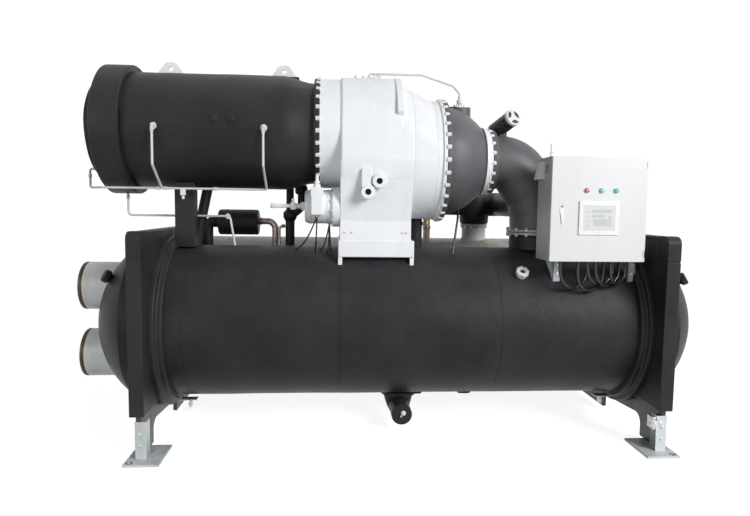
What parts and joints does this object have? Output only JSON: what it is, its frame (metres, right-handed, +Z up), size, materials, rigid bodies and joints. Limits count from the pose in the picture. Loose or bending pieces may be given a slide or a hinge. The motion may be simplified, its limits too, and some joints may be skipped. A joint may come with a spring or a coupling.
{
  "type": "centrifugal chiller",
  "caption": "Water-cooled centrifugal chiller: foam-covered evaporator beside a bare condenser, with motor, gear casing, compressor, suction elbow and hinged control panel on top.",
  "frame": {"origin": "on the floor, under the middle of the machine's box", "axes": "+X along the shells from the water nozzles to the blank heads, +Y from the control panel's side to the condenser's, +Z up"},
  "size_m": [4.6052, 2.53, 2.723],
  "materials": {
    "foam": "matt black rubber foam",
    "casing_white": "satin white paint",
    "panel_white": "satin white powder coat",
    "bare_grey": "pale grey primer",
    "foot_grey": "light grey paint",
    "nozzle_green": "pale grey-green primer",
    "black_paint": "satin black paint",
    "tube_white": "pale painted tube",
    "bare_pipe": "bare copper-brown pipe",
    "cable": "glossy black sheath",
    "screen": "glossy pale display",
    "lens_red": "glossy red lens",
    "lens_green": "glossy green lens"
  },
  "bodies": {
    "machine": {"balance_line": "tube_white", "chilled_water_nozzle_lower": "nozzle_green", "chilled_water_nozzle_upper": "nozzle_green", "compressor_pedestal": "casing_white", "compressor_volute": "casing_white", "condenser_end_plate_left": "bare_grey", "condenser_end_plate_right": "bare_grey", "condenser_head_left": "bare_grey", "condenser_head_right": "bare_grey", "condenser_shell": "bare_grey", "cooling_water_nozzle_lower": "nozzle_green", "cooling_water_nozzle_upper": "nozzle_green", "discharge_column": "bare_grey", "discharge_pipe": "foam", "drum_outlet_pipe": "bare_pipe", "equalising_pipe": "bare_pipe", "evaporator_drain": "foam", "evaporator_end_plate_left": "foam", "evaporator_end_plate_right": "foam", "evaporator_head_left": "foam", "evaporator_head_right": "foam", "evaporator_shell": "foam", "foot_front_left": "foot_grey", "foot_front_right": "foot_grey", "foot_rear_left": "foot_grey", "foot_rear_right": "foot_grey", "gear_casing": "casing_white", "guide_vane_ring": "casing_white", "lifting_lug_front": "bare_grey", "lifting_lug_rear": "bare_grey", "liquid_riser": "foam", "motor_cooling_line": "tube_white", "motor_drain_pipe": "foam", "motor_end_cover": "foam", "motor_shell": "foam", "motor_support_post": "black_paint", "oil_pump": "casing_white", "oil_return_line": "tube_white", "oil_separator_drum": "foam", "panel_bracket_left": "foot_grey", "panel_bracket_right": "foot_grey", "panel_cable_1": "cable", "panel_cable_2": "cable", "panel_cable_3": "cable", "panel_cable_4": "cable", "panel_cable_5": "cable", "panel_case": "panel_white", "sight_glass": "panel_white", "suction_cover": "foam", "suction_elbow": "foam", "suction_stub": "foam", "vane_actuator": "black_paint", "volute_drain_pipe": "foam"},
    "door": {"panel_door": "panel_white", "panel_screen": "screen", "panel_lock": "panel_white", "pilot_light_red": "lens_red", "pilot_light_run": "lens_green", "pilot_light_ready": "lens_green"}
  },
  "joints": [
    {"name": "door_hinge", "type": "hinge", "parent": "machine", "child": "door", "pos_m": [1.68635, -1.068, 1.326], "axis": [0, 0, 1], "range_deg": [0, 110]}
  ]
}
